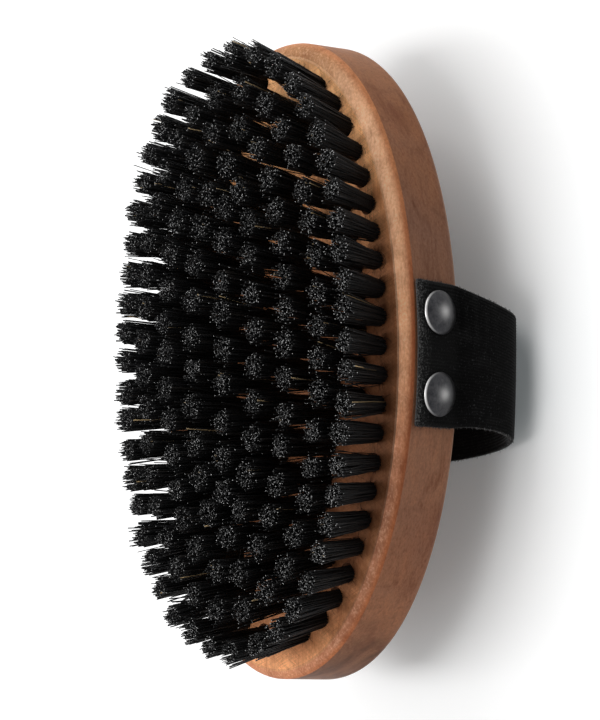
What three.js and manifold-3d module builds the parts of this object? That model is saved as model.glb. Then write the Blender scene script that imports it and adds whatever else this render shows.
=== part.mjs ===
// An oval body brush: a wooden stock with concentric rings of bristle tufts on one face, and a webbing
// hand strap nailed to its long sides. Millimetres, +Z up, lying on its strap with the bristles up.
import * as THREE from 'three';
import { mergeVertices } from 'three/addons/utils/BufferGeometryUtils.js';
import Module from 'manifold-3d';

// Stock: an oval block with a round-over on the bristle side that is wider towards the +X end
const STOCK_LENGTH = 130;
const STOCK_WIDTH = 69.5;
const STOCK_THICKNESS = 17.2;
const STOCK_POWER = 2.066; // 2 is a true ellipse, more is squarer
const RIM_RADIUS = 2.3;
const RIM_RADIUS_CHANGE = 0.74;
const RIM_BREAK = THREE.MathUtils.degToRad(13); // the crease where the round-over meets face and wall
const BACK_EDGE_RADIUS = 4;
const BACK_HEIGHT = 17.4; // the stock's back above the table
const FACE_HEIGHT = BACK_HEIGHT + STOCK_THICKNESS;

// Bristle field: rings of tufts on ovals of one power, turned and shifted a little on the stock
const FIELD_POWER = 2.166;
const FIELD_SHIFT = 0.87;
const FIELD_TURN = THREE.MathUtils.degToRad(0.97);
const TUFT_RINGS = [
  { name: 'bristles_outer_ring', halfLength: 57.1, halfWidth: 26.75, tufts: 48, phase: 0 },
  { name: 'bristles_second_ring', halfLength: 49.6, halfWidth: 21.35, tufts: 36, phase: 0.5 },
  { name: 'bristles_third_ring', halfLength: 42.7, halfWidth: 14.4, tufts: 30, phase: 0.5 },
  { name: 'bristles_centre', halfLength: 35.35, halfWidth: 7.45, tufts: 22, phase: 0 },
];
const CENTRE_ROW_TUFTS = 9;
const CENTRE_ROW_LENGTH = 53.7;

// Trim: tufts lean outwards, and are cut to a low dome
const BRISTLE_HEIGHT = 14.9; // at the outer ring
const TRIM_DOME = 2.9; // how much higher the middle is
const LEAN_ALONG = 0.064; // a tip's outward shift as a share of its root's distance from the middle
const LEAN_ACROSS = 0.18;
const STRANDS_PER_TUFT = 3;
const STRAND_SIDES = 3;
const STRAND_ROOT_RADIUS = 0.78;
const STRAND_TIP_RADIUS = 1;
const TUFT_ROOT_SPREAD = 0.95;
const TUFT_TIP_SPREAD = 1.45;
const STRAND_SET_DEPTH = 1.2;
const SLICE_THICKNESS = 3; // of the wood that carries a ring's strands

// Strap: webbing that hangs from both sides and lies flat on the table, its loop leaning towards -X
const STRAP_WIDTH = 29.4;
const STRAP_THICKNESS = 1.5;
const STRAP_LEAN = -5.2;
const STRAP_BELOW_FACE = 2.6;
const STRAP_SECTION_POINTS = 5;
const STRAP_STEPS = [2, 14, 2]; // down the wall, round the bend, and in along the table
// How each edge bends: its shift where it leaves the wall, the width that it has on the table, and the
// two points that draw its curve
const SLACK_EDGE = {
  hang: 0,
  flatWidth: 32,
  shoulder: { shift: 1.5, out: 36.3, height: 14.9 },
  toe: { shift: -2.1, out: 48 },
};
const TAUT_EDGE = {
  hang: -0.65,
  flatWidth: 47,
  shoulder: { shift: -3.1, out: 38.8, height: 16 },
  toe: { shift: -8.3, out: 43.5 },
};

// Nails: dome-headed, two to a side
const NAIL_SPACING = 16.1;
const NAIL_BELOW_FACE = 7.4;
const NAIL_HEAD_RADIUS = 4.5;
const NAIL_HEAD_LIP = 0.25;
const NAIL_DOME_HEIGHT = 1.7;
const NAIL_SHANK_RADIUS = 0.9;
const NAIL_SHANK_LENGTH = 13;
const NAIL_POINT_LENGTH = 3;
const PILOT_CLEARANCE = 0.3;

const GAP = 0.3; // between pieces that touch
const OUTLINE_STEPS = 96;
const FIELD_STEPS = 72;
const ARC_STEPS = 5;
const ROUND_SIDES = 16;
const SPACING_STEPS = 1440; // samples of an outline, for spacing points evenly along it
const MERGE_DISTANCE = 1e-5;

const wasm = await Module();
wasm.setup();

const wood = new THREE.MeshStandardMaterial({ color: 0xb0774c, roughness: 0.6, metalness: 0 });
const bristle = new THREE.MeshStandardMaterial({ color: 0x171514, roughness: 0.45, metalness: 0 });
const webbing = new THREE.MeshStandardMaterial({ color: 0x0f0f10, roughness: 0.95, metalness: 0 });
const steel = new THREE.MeshStandardMaterial({ color: 0x63646a, roughness: 0.4, metalness: 1 });

/** An oval outline with half axes along X and Y, started at its +X end. */
class Oval extends THREE.Curve {
  constructor(halfLength, halfWidth, power) {
    super();
    this.halfLength = halfLength;
    this.halfWidth = halfWidth;
    this.power = power;
    this.arcLengthDivisions = SPACING_STEPS;
  }

  getPoint(t, target = new THREE.Vector2()) {
    const cos = Math.cos(2 * Math.PI * t);
    const sin = Math.sin(2 * Math.PI * t);
    const x = this.halfLength * Math.sign(cos) * Math.abs(cos) ** (2 / this.power);
    const y = this.halfWidth * Math.sign(sin) * Math.abs(sin) ** (2 / this.power);
    return target.set(x, y);
  }

  /** The direction straight out of the outline at a point on it. */
  outwardAt(point) {
    const x = Math.sign(point.x) * Math.abs(point.x / this.halfLength) ** (this.power - 1);
    const y = Math.sign(point.y) * Math.abs(point.y / this.halfWidth) ** (this.power - 1);
    return new THREE.Vector2(x / this.halfLength, y / this.halfWidth).normalize();
  }

  /** How far the outline lies from the long axis at a distance along that axis. */
  reachAt(x) {
    return this.halfWidth * (1 - Math.abs(x / this.halfLength) ** this.power) ** (1 / this.power);
  }

  /** Points at equal spaces along the outline, the first one `phase` spaces past the +X end. */
  evenPoints(count, phase = 0) {
    return Array.from({ length: count }, (_, i) => this.getPointAt((i + phase) / count));
  }
}

const stockOval = new Oval(STOCK_LENGTH / 2, STOCK_WIDTH / 2, STOCK_POWER);

/** A closed skin through rings of equal point counts, capped at both ends or joined end to end. */
function loft(rings, joined = false) {
  const count = rings[0].length;
  const points = rings.flat();
  const index = [];
  const spans = joined ? rings.length : rings.length - 1;
  for (let k = 0; k < spans; k++) {
    const here = k * count;
    const next = ((k + 1) % rings.length) * count;
    for (let i = 0; i < count; i++) {
      const j = (i + 1) % count;
      index.push(here + i, next + i, next + j, here + i, next + j, here + j);
    }
  }
  if (!joined) {
    const last = (rings.length - 1) * count;
    const middleOf = (ring) => ring.reduce((sum, p) => sum.add(p), new THREE.Vector3()).divideScalar(count);
    const start = points.push(middleOf(rings[0])) - 1;
    const end = points.push(middleOf(rings.at(-1))) - 1;
    for (let i = 0; i < count; i++) {
      const j = (i + 1) % count;
      index.push(start, i, j, end, last + j, last + i);
    }
  }
  const geometry = new THREE.BufferGeometry().setFromPoints(points);
  geometry.setIndex(index);
  return geometry;
}

function toSolid(geometry) {
  const bare = geometry.clone();
  bare.deleteAttribute('normal');
  bare.deleteAttribute('uv');
  const merged = mergeVertices(bare, MERGE_DISTANCE);
  return new wasm.Manifold(new wasm.Mesh({
    numProp: 3,
    vertProperties: new Float32Array(merged.attributes.position.array),
    triVerts: new Uint32Array(merged.index.array),
  }));
}

function toGeometry(solid) {
  const { vertProperties, triVerts } = solid.getMesh();
  const geometry = new THREE.BufferGeometry();
  geometry.setAttribute('position', new THREE.BufferAttribute(vertProperties, 3));
  geometry.setIndex(new THREE.BufferAttribute(triVerts, 1));
  geometry.computeVertexNormals();
  return geometry;
}

function piece(name, geometry, material) {
  const mesh = new THREE.Mesh(geometry, material);
  mesh.name = name;
  return mesh;
}

/** The round-over's radius at a point of the stock's outline. */
function rimRadiusAt(point) {
  return RIM_RADIUS + RIM_RADIUS_CHANGE * (point.x / stockOval.halfLength);
}

/** A ring of the stock: each outline point drawn in by `inset` and set at `height`, from its rim radius. */
function stockRing(inset, height, steps = OUTLINE_STEPS) {
  return stockOval.evenPoints(steps).map((point) => {
    const radius = rimRadiusAt(point);
    const moved = point.clone().addScaledVector(stockOval.outwardAt(point), -inset(radius));
    return new THREE.Vector3(moved.x, moved.y, height(radius));
  });
}

/** The block, with a shallow seat in its face for the slices that carry the bristles. */
function stockGeometry() {
  const seat = FACE_HEIGHT - SLICE_THICKNESS - GAP;
  const rings = [stockRing((radius) => radius, () => seat)];
  const start = Math.sin(RIM_BREAK);
  const end = Math.cos(RIM_BREAK);
  for (let k = 0; k <= ARC_STEPS; k++) {
    const turn = THREE.MathUtils.lerp(RIM_BREAK, Math.PI / 2 - RIM_BREAK, k / ARC_STEPS);
    const out = (Math.sin(turn) - start) / (end - start);
    const down = (end - Math.cos(turn)) / (end - start);
    rings.push(stockRing((radius) => radius * (1 - out), (radius) => FACE_HEIGHT - radius * down));
  }
  for (let k = 0; k <= ARC_STEPS; k++) {
    const turn = (k / ARC_STEPS) * (Math.PI / 2);
    rings.push(stockRing(
      () => BACK_EDGE_RADIUS * (1 - Math.cos(turn)),
      () => BACK_HEIGHT + BACK_EDGE_RADIUS * (1 - Math.sin(turn)),
    ));
  }
  return loft(rings);
}

/** A root on the bristle face: a point of the field's own layout, turned and shifted onto the stock. */
function onField(point) {
  return point.clone().add(new THREE.Vector2(FIELD_SHIFT, 0)).rotateAround(new THREE.Vector2(), FIELD_TURN);
}

function fieldOutline(oval, height) {
  return oval.evenPoints(FIELD_STEPS).map(onField).map((p) => new THREE.Vector3(p.x, p.y, height));
}

/** Where a tuft ends: leaned outwards, and cut to the dome. */
function tuftTip(root) {
  const outer = TUFT_RINGS[0];
  const fall = (root.x / outer.halfLength) ** 2 + (root.y / outer.halfWidth) ** 2;
  const tip = onField(new THREE.Vector2(root.x * (1 + LEAN_ALONG), root.y * (1 + LEAN_ACROSS)));
  return new THREE.Vector3(tip.x, tip.y, FACE_HEIGHT + BRISTLE_HEIGHT + TRIM_DOME * (1 - fall));
}

function strandSolid(from, to) {
  const along = to.clone().sub(from);
  const length = along.length();
  const strand = new THREE.CylinderGeometry(STRAND_TIP_RADIUS, STRAND_ROOT_RADIUS, length, STRAND_SIDES);
  strand.translate(0, length / 2, 0);
  const turn = new THREE.Quaternion().setFromUnitVectors(new THREE.Vector3(0, 1, 0), along.normalize());
  strand.applyQuaternion(turn);
  strand.translate(from.x, from.y, from.z);
  return toSolid(strand);
}

/** The strands of one tuft, spreading from its root towards its tip. */
function tuftStrands(root) {
  const foot = onField(root);
  const tip = tuftTip(root);
  const first = Math.atan2(root.y, root.x);
  return Array.from({ length: STRANDS_PER_TUFT }, (_, i) => {
    const angle = first + (i / STRANDS_PER_TUFT) * 2 * Math.PI;
    const way = new THREE.Vector3(Math.cos(angle), Math.sin(angle), 0);
    const from = new THREE.Vector3(foot.x, foot.y, FACE_HEIGHT - STRAND_SET_DEPTH);
    from.addScaledVector(way, TUFT_ROOT_SPREAD);
    return strandSolid(from, tip.clone().addScaledVector(way, TUFT_TIP_SPREAD));
  });
}

/** The oval midway between a ring of tufts and the next one inwards, drawn in by `inset`. */
function dividingOval(ring, inset) {
  const outer = TUFT_RINGS[ring];
  const inner = TUFT_RINGS[ring + 1];
  const halfLength = (outer.halfLength + inner.halfLength) / 2;
  const halfWidth = (outer.halfWidth + inner.halfWidth) / 2;
  return new Oval(halfLength - inset, halfWidth - inset, FIELD_POWER);
}

/** The slice of wood under one ring of tufts, from its outer dividing line to its inner one. */
function sliceSolid(ring) {
  const top = FACE_HEIGHT;
  const bottom = FACE_HEIGHT - SLICE_THICKNESS;
  const outline = (height) => {
    if (ring > 0) {
      return fieldOutline(dividingOval(ring - 1, GAP / 2), height);
    }
    return stockRing((radius) => radius + GAP, () => height, FIELD_STEPS);
  };
  if (ring === TUFT_RINGS.length - 1) {
    return toSolid(loft([outline(top), outline(bottom)]));
  }
  const inner = dividingOval(ring, -GAP / 2);
  const rings = [outline(top), outline(bottom), fieldOutline(inner, bottom), fieldOutline(inner, top)];
  return toSolid(loft(rings, true));
}

/** One ring's slice with its strands fused to it. The innermost one also carries the centre row. */
function bristlePiece(ring) {
  const { name, halfLength, halfWidth, tufts, phase } = TUFT_RINGS[ring];
  const roots = new Oval(halfLength, halfWidth, FIELD_POWER).evenPoints(tufts, phase);
  if (ring === TUFT_RINGS.length - 1) {
    for (let i = 0; i < CENTRE_ROW_TUFTS; i++) {
      const share = i / (CENTRE_ROW_TUFTS - 1) - 0.5;
      roots.push(new THREE.Vector2(CENTRE_ROW_LENGTH * share, 0));
    }
  }
  const solid = roots.flatMap(tuftStrands).reduce((whole, strand) => whole.add(strand), sliceSolid(ring));
  return piece(name, toGeometry(solid), bristle);
}

/** One edge of the strap's near half: down the wall, round the bend, and in along the table. */
function strapEdge(wallX, { hang, flatWidth, shoulder, toe }) {
  const out = stockOval.reachAt(wallX) + GAP + STRAP_THICKNESS / 2;
  const tableZ = STRAP_THICKNESS / 2;
  const top = new THREE.Vector3(wallX, -out, FACE_HEIGHT - STRAP_BELOW_FACE);
  const leaves = new THREE.Vector3(wallX + hang, -out, BACK_HEIGHT + BACK_EDGE_RADIUS);
  const touches = new THREE.Vector3(wallX + STRAP_LEAN, -flatWidth / 2, tableZ);
  const middle = new THREE.Vector3(wallX + STRAP_LEAN, 0, tableZ);
  const shoulderPoint = new THREE.Vector3(wallX + shoulder.shift, -shoulder.out, shoulder.height);
  const toePoint = new THREE.Vector3(wallX + toe.shift, -toe.out, tableZ);
  return [
    new THREE.LineCurve3(top, leaves),
    new THREE.CubicBezierCurve3(leaves, shoulderPoint, toePoint, touches),
    new THREE.LineCurve3(touches, middle),
  ];
}

/** The strap's outline across its width at one place: its outer face, then its inner face. */
function strapSection(slackPoint, tautPoint, out, bow) {
  const faceAt = (i, offset) => {
    const share = i / (STRAP_SECTION_POINTS - 1);
    const crown = bow * (1 - (2 * share - 1) ** 2);
    return slackPoint.clone().lerp(tautPoint, share).addScaledVector(out, crown + offset);
  };
  const section = [];
  for (let i = 0; i < STRAP_SECTION_POINTS; i++) {
    section.push(faceAt(i, STRAP_THICKNESS / 2));
  }
  for (let i = STRAP_SECTION_POINTS - 1; i >= 0; i--) {
    section.push(faceAt(i, -STRAP_THICKNESS / 2));
  }
  return section;
}

/** The whole strap, from its end on the near wall to its end on the far one. */
function strapGeometry() {
  const slack = strapEdge(-STRAP_WIDTH / 2, SLACK_EDGE);
  const taut = strapEdge(STRAP_WIDTH / 2, TAUT_EDGE);
  const wallBow = stockOval.reachAt(0) - stockOval.reachAt(STRAP_WIDTH / 2);
  const nearHalf = [];
  STRAP_STEPS.forEach((steps, stretch) => {
    for (let i = stretch === 0 ? 0 : 1; i <= steps; i++) {
      const t = i / steps;
      const slackPoint = slack[stretch].getPoint(t);
      const tautPoint = taut[stretch].getPoint(t);
      const along = slack[stretch].getTangent(t).add(taut[stretch].getTangent(t));
      const out = along.cross(tautPoint.clone().sub(slackPoint)).normalize();
      const bow = [wallBow, wallBow * (1 - t), 0][stretch];
      nearHalf.push(strapSection(slackPoint, tautPoint, out, bow));
    }
  });
  const mirror = new THREE.Vector3(1, -1, 1);
  const farHalf = nearHalf.slice(0, -1).map((section) => section.map((p) => p.clone().multiply(mirror)));
  return loft([...nearHalf, ...farHalf.reverse()]);
}

/** A nail with its axis along +Y and the underside of its head at the origin. */
function nailGeometry() {
  const profile = [
    new THREE.Vector2(0, -NAIL_SHANK_LENGTH),
    new THREE.Vector2(NAIL_SHANK_RADIUS, NAIL_POINT_LENGTH - NAIL_SHANK_LENGTH),
    new THREE.Vector2(NAIL_SHANK_RADIUS, 0),
    new THREE.Vector2(NAIL_HEAD_RADIUS, 0),
  ];
  const domeRadius = (NAIL_HEAD_RADIUS ** 2 + NAIL_DOME_HEIGHT ** 2) / (2 * NAIL_DOME_HEIGHT);
  const rimTurn = Math.asin(NAIL_HEAD_RADIUS / domeRadius);
  for (let k = ARC_STEPS; k >= 0; k--) {
    const turn = (k / ARC_STEPS) * rimTurn;
    const height = NAIL_HEAD_LIP + NAIL_DOME_HEIGHT - domeRadius * (1 - Math.cos(turn));
    profile.push(new THREE.Vector2(domeRadius * Math.sin(turn), height));
  }
  return new THREE.LatheGeometry(profile, ROUND_SIDES);
}

/** Where each nail sits on the strap, square to the wall under it. */
function nailPlaces() {
  const places = [];
  for (const [row, side] of [['front', -1], ['rear', 1]]) {
    for (const [end, along] of [['left', -1], ['right', 1]]) {
      const x = (along * NAIL_SPACING) / 2;
      const wall = new THREE.Vector2(x, side * stockOval.reachAt(x));
      const out = stockOval.outwardAt(wall);
      const seat = wall.addScaledVector(out, STRAP_THICKNESS + 2 * GAP);
      const place = new THREE.Object3D();
      place.name = `nail_${row}_${end}`;
      place.position.set(seat.x, seat.y, FACE_HEIGHT - NAIL_BELOW_FACE);
      place.quaternion.setFromUnitVectors(new THREE.Vector3(0, 1, 0), new THREE.Vector3(out.x, out.y, 0));
      place.updateMatrix();
      places.push(place);
    }
  }
  return places;
}

/** The hole that a nail makes through the strap and into the stock. */
function pilotSolid(place) {
  const depth = NAIL_SHANK_LENGTH + PILOT_CLEARANCE;
  const radius = NAIL_SHANK_RADIUS + PILOT_CLEARANCE;
  const pilot = new THREE.CylinderGeometry(radius, radius, depth, ROUND_SIDES);
  pilot.translate(0, -depth / 2, 0);
  return toSolid(pilot.applyMatrix4(place.matrix));
}

function drilled(geometry, places) {
  return toGeometry(places.reduce((solid, place) => solid.subtract(pilotSolid(place)), toSolid(geometry)));
}

const nails = nailPlaces();
const brush = new THREE.Group();
brush.add(piece('stock', drilled(stockGeometry(), nails), wood));
brush.add(piece('hand_strap', drilled(strapGeometry(), nails), webbing));
for (const place of nails) {
  const nail = piece(place.name, toGeometry(toSolid(nailGeometry())), steel);
  nail.position.copy(place.position);
  nail.quaternion.copy(place.quaternion);
  brush.add(nail);
}
TUFT_RINGS.forEach((_, ring) => brush.add(bristlePiece(ring)));

export default brush;
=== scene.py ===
"""An oval body brush that lies on its hand strap, bristles up: wood, webbing, nails and bristles."""

import math

import bmesh
import bpy
import numpy as np
from mathutils import Matrix, Vector


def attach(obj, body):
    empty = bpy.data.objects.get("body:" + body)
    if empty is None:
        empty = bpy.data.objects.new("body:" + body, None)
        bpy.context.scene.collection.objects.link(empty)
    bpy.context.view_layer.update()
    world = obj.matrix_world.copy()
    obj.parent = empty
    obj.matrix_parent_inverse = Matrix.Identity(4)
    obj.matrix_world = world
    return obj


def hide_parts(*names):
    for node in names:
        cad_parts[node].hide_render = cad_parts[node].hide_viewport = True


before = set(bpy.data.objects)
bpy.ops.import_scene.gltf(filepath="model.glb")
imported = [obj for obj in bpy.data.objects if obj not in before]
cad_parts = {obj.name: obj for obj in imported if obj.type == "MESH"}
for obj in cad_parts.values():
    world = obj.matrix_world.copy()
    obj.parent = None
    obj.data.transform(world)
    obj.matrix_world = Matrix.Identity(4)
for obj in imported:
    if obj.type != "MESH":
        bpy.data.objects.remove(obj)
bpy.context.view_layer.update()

# Lengths are in millimetres, except where a comment says otherwise
MM = 0.001
SEED = 7
OVAL_STEPS = 4320  # to measure along an oval

# Stock: an oval block with a round-over that is wider towards its +X end
STOCK_HALF = (65, 34.75)
STOCK_POWER = 2.066  # of the oval: 2 is an ellipse, and more is squarer
STOCK_THICKNESS = 17.2
BACK_HEIGHT = 17.4
FACE_HEIGHT = BACK_HEIGHT + STOCK_THICKNESS
RIM_RADIUS = 2.3
RIM_RADIUS_CHANGE = 0.74  # more at the +X end, and less at the -X end
RIM_BREAK = math.radians(13)  # how far the round-over is from running smoothly into face and wall
RIM_STEPS = 20
CREASE_WIDTH = 0.45  # the narrow sloped band along the inside of the round-over, which carries a painted highlight
CREASE_DROP = 0.045
SHARP_ANGLE = math.radians(4)
BACK_EDGE_RADIUS = 4
OUTLINE_STEPS = 360
HOLE_RADIUS = 1.75
HOLE_DEPTH = 8
HOLE_CUT_ABOVE = 1
HOLE_SIDES = 18

# Bristle field: half length, half width, tufts, phase and looseness of each ring, and the middle row
FIELD_POWER = 2.166
FIELD_SHIFT = 0.87
FIELD_TURN = math.radians(0.97)
RINGS = {
    "outer_ring": (57.1, 26.75, 48, 0, 0.75),
    "second_ring": (49.6, 21.35, 36, 0.5, 1.15),
    "third_ring": (42.7, 14.4, 30, 0.5, 1.25),
    "centre": (35.35, 7.45, 22, 0, 1.25),
}
CENTRE_ROW_TUFTS = 9
CENTRE_ROW_LENGTH = 53.7
BRISTLE_HEIGHT = 14.9
TRIM_DOME = 2.9
LEAN_ALONG = 0.064  # how far a tip is past its root, as a share of the root's distance from the middle
LEAN_ACROSS = 0.18

# Bristles
BRISTLES_PER_TUFT = 150
BRISTLE_SIDES = 4
BRISTLE_SPANS = 2
BRISTLE_RADIUS = 0.11
BRISTLE_RADIUS_SPREAD = (0.75, 1.15)
BRISTLE_ROOT_DEPTH = 3
TUFT_ROOT_RADIUS = 1.6
TUFT_TIP_RADIUS = 2.3
TUFT_SWAY = 0.3  # of a tuft as a whole
TUFT_SPLAY = (0.88, 1.16)  # times the tip radius
TIP_SCATTER = 0.42  # this and the next two are for a looseness of 1
HEIGHT_SCATTER = 0.18
STRAY_SHARE = 0.1
STRAY_SCATTER = 1.1
STRAY_LIMIT = 1.6
BEND_SCATTER = 0.22
SHORT_SHARE = 0.04
SHORT_BY = 3
BLOND_SHARE = 0.0015
BLOND_STRAY_SHARE = 0.02

# Loose hairs: fans at the roots of the outer ring, hairs across the gaps, and a few curls
HAIR_SIDES = 3
HAIR_SPANS = 5
HAIR_RADIUS = 0.04
HAIR_RADIUS_SPREAD = (0.5, 1.1)
FAN_HAIRS = 18
FAN_SPREAD = math.radians(60)
FAN_LENGTH = (0.3, 1.8)
FAN_RISE = 0.8
FAN_SWEEP = 0.25
CROSS_HAIRS = 60
CROSS_HEIGHT = (2, 10)
CROSS_LENGTH = (4, 7)
CROSS_SLOPE = (-0.6, 0.2)
CROSS_BEND = 0.7
CURLS = 7
CURL_SPANS = 14
CURL_RADIUS = (0.9, 1.7)
CURL_TURN = (3.5, 5.5)  # radians
CURL_RISE = (0.3, 1.6)

# How tone and length are laid out on the hairs, and on the map that they share
TONES = 256  # steps from black to blond
BLACK_TONES = 0.97
END_SHADES = 37  # times that the cut ends run through their own shades
END_SHADE_REACH = (0.55, 1)  # share of a tuft's radius over which its ends get darker, as painted shade
END_SHADE_BY = 0.85
GOLDEN_ANGLE = math.pi * (3 - math.sqrt(5))
HAIR_LENGTH_SHARE = 0.5  # what is left is the cut end
MAP_MARGIN = 0.1
MAP_END = 0.05

# Strap: webbing between a slack edge and a taut one. Each edge hangs down the wall, bends by way of a
# shoulder (x, out, up) and a toe (x, out), and then lies flat on the table over a length
STRAP_WIDTH = 29.4
STRAP_THICKNESS = 1.5
STRAP_LEAN = -5.2  # how far the loop is shifted along X where it lies on the table
STRAP_BELOW_FACE = 2.6
STRAP_GAP = 0.3
STRAP_STEPS = (26, 60, 26)  # down the wall, round the bend, and in along the table
SLACK_EDGE = {"hang": 0, "flat": 32, "shoulder": (1.5, 36.3, 14.9), "toe": (-2.1, 48)}
TAUT_EDGE = {"hang": -0.65, "flat": 47, "shoulder": (-3.1, 38.8, 16), "toe": (-8.3, 43.5)}
STRAP_EASE = 10  # passes that take the kinks out of the bends
RIBS = 42
RIB_STEPS = 4
RIB_HEIGHT = 0.055
SELVEDGE = 0.7
PUCKER_WAVE = 2.3
PUCKER_HEIGHT = 0.12
PUCKER_FROM_END = (9.5, 21)  # where the waves start and stop
PUCKER_WIDTH = 5
FRAY = 1.7  # how far the cut ends have come loose
EDGE_LINT = 26  # fibres to the millimetre along the edges, and along the cut ends
END_LINT = 40
END_LINT_RISE = 0.6
NAP = 3000  # fibres over both faces
NAP_RISE = 0.5
NAP_TONE = 0.3  # times the tone of the other fibres
LINT_SPANS = 2
LINT_RADIUS = 0.03
LINT_RADIUS_SPREAD = (0.7, 1.3)
LINT_LENGTH = (0.08, 0.42)
LINT_SWEEP = 0.45
LINT_BEND = 0.06
LINT_DEPTH = 0.4  # of the strap's thickness, to each side of its middle
NAP_LENGTH = (0.06, 0.18)

# Nails
NAIL_SPACING = 16.1
NAIL_BELOW_FACE = 7.4
NAIL_HEAD_RADIUS = 4.5
NAIL_HEAD_LIP = 0.25
NAIL_DOME_HEIGHT = 1.7
NAIL_FILLET = 0.3
NAIL_SHANK_RADIUS = 0.9
NAIL_SHANK_LENGTH = 13
NAIL_POINT_RADIUS = 0.05
NAIL_POINT_LENGTH = 3
NAIL_SIDES = 48
NAIL_LIP_STEPS = 6
NAIL_DOME_STEPS = 14
NAIL_TOP_TURN = 0.02  # where the dome ends, just short of its middle
NAIL_SHARP_ANGLE = math.radians(40)
NAIL_HIGHLIGHT_RISE = 0.3  # the painted highlight on the crown, above its middle
NAIL_HIGHLIGHT_RADIUS = 1.3
NAIL_CROWN_HIGHLIGHT = 0.4

# Wood: patterns, by their changes to the metre along X, Y and Z
FIGURE = {"stretch": (16, 60, 60), "detail": 4, "roughness": 0.6, "distortion": 0.8}
CLOUDS = {"stretch": (110, 260, 260), "detail": 4, "roughness": 0.62, "distortion": 0.6}
FIBRE = {"stretch": (170, 1500, 1500), "detail": 4, "roughness": 0.65}
PORES = {"stretch": (1500, 2300, 2300), "detail": 3, "roughness": 0.6}
STAINS = {"stretch": (35, 55, 55)}
# Fine crossing lines on the face: partly sanding marks, partly painted shadows of loose hairs
SCRATCHES_AND_HAIR_SHADOWS = {"stretch": (2400, 210, 210), "detail": 3, "roughness": 0.6, "distortion": 1}
SCRATCH_AND_SHADOW_TURNS = (math.radians(38), math.radians(-24))  # of the fine crossing lines on the face, partly sanding marks and partly painted shadows of loose hairs, from straight across
WANDER = 0.3  # how far the figure shifts colours along the brush, as a share of its length

# Wood: how much of each part shows, by how far the surface faces up, and for the back edge down
UPPER_RIM = ((0.3, 0), (0.5, 1), (0.97, 1), (0.98, 0))
OUTER_RIM = ((0.13, 0), (0.2, 1), (0.44, 0.9), (0.76, 0))
# The crease band's pale colour is a painted highlight
CREASE_HIGHLIGHT = ((0.985, 0), (0.99, 0.35), (0.997, 0.35), (0.999, 0))
WALL = ((0, 1), (0.12, 1), (0.2, 0))
# The back edge's pale band is a painted highlight along the silhouette
BACK_EDGE_HIGHLIGHT = ((0.38, 0), (0.52, 0.6), (0.8, 0.6), (0.95, 0))

# Wood: colours of the parts, from 0 at the -X end to 1 at the +X end; paler towards +X partly by the
# wood's own tone and partly by painted light, and the face's dark middle is painted shade of the tufts
# The face's dark middle is painted shade of the tufts, and its pale ends are painted light
FACE_COLOURS_LIGHT_AND_SHADE = (
    (0.02, (0.95, 0.44, 0.2)),
    (0.1, (0.6, 0.255, 0.115)),
    (0.22, (0.24, 0.096, 0.043)),
    (0.55, (0.28, 0.112, 0.05)),
    (0.66, (0.45, 0.187, 0.083)),
    (0.76, (0.95, 0.45, 0.2)),
    (0.9, (0.98, 0.52, 0.24)),
)
# The round-over's pale upper part is partly its own tone and partly painted light from overhead
UPPER_RIM_COLOURS = (
    (0.05, (0.6, 0.25, 0.13)),
    (0.2, (0.48, 0.2, 0.108)),
    (0.36, (0.74, 0.325, 0.17)),
    (0.5, (0.97, 0.5, 0.27)),
    (0.86, (0.97, 0.55, 0.32)),
    (0.98, (0.56, 0.27, 0.125)),
)
OUTER_RIM_COLOURS = (
    (0.1, (0.62, 0.215, 0.092)),
    (0.3, (0.5, 0.165, 0.07)),
    (0.6, (0.53, 0.175, 0.073)),
    (0.85, (0.68, 0.28, 0.125)),
)
WALL_COLOURS = (
    (0.01, (0.17, 0.068, 0.03)),
    (0.1, (0.6, 0.262, 0.14)),
    (0.22, (0.57, 0.268, 0.16)),
    (0.35, (0.63, 0.295, 0.171)),
    (0.55, (0.5, 0.24, 0.137)),
    (0.72, (0.41, 0.198, 0.122)),
    (0.84, (0.46, 0.198, 0.1)),
    (0.97, (0.42, 0.172, 0.07)),
)
# Colours of the painted highlight along the crease band
CREASE_HIGHLIGHT_COLOURS = ((0.2, (0.3, 0.16, 0.1)), (0.6, (0.95, 0.62, 0.42)))
# Colour of the painted highlight along the back edge
BACK_EDGE_HIGHLIGHT_COLOUR = (0.9, 0.62, 0.46)

# Wood: what the patterns do to the colours
FIGURE_TINT = ((0.3, 0.8), (0.7, 1.05))
# Painted shadows of loose hairs, together with sanding marks
SCRATCH_AND_SHADOW_TINT = ((0.3, 0.72), (0.5, 1), (0.7, 1.2))
SCRATCH_AND_SHADOW_COVER = ((0.35, 0.1), (0.6, 1))
DUST_COVER = ((0.5, 0), (0.72, 0.28))
DUST_COLOUR = (0.98, 0.72, 0.52)
STAIN_COVER = ((0.58, 0), (0.74, 0.4))
STAIN_TINT = (0.66, 0.45, 0.36)
CLOUD_TINT = ((0.3, (0.72, 0.62, 0.56)), (0.48, 1), (0.7, (1.12, 1.1, 1.06)))
FIBRE_TINT = ((0.3, (0.66, 0.5, 0.43)), (0.5, 1))
FIBRE_SHARE = 0.5
PORE_TINT = ((0.3, (0.84, 0.72, 0.64)), (0.48, 1), (0.68, (1.2, 1.2, 1.18)))
PORE_SHARE = 0.7
PORE_DEPTH = 0.25  # times that of the fibre
WOOD_BUMP = {"strength": 0.2, "distance": 0.1}
WOOD_ROUGHNESS = (0.45, 0.62)
WOOD_SHINE = 0.15

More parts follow.
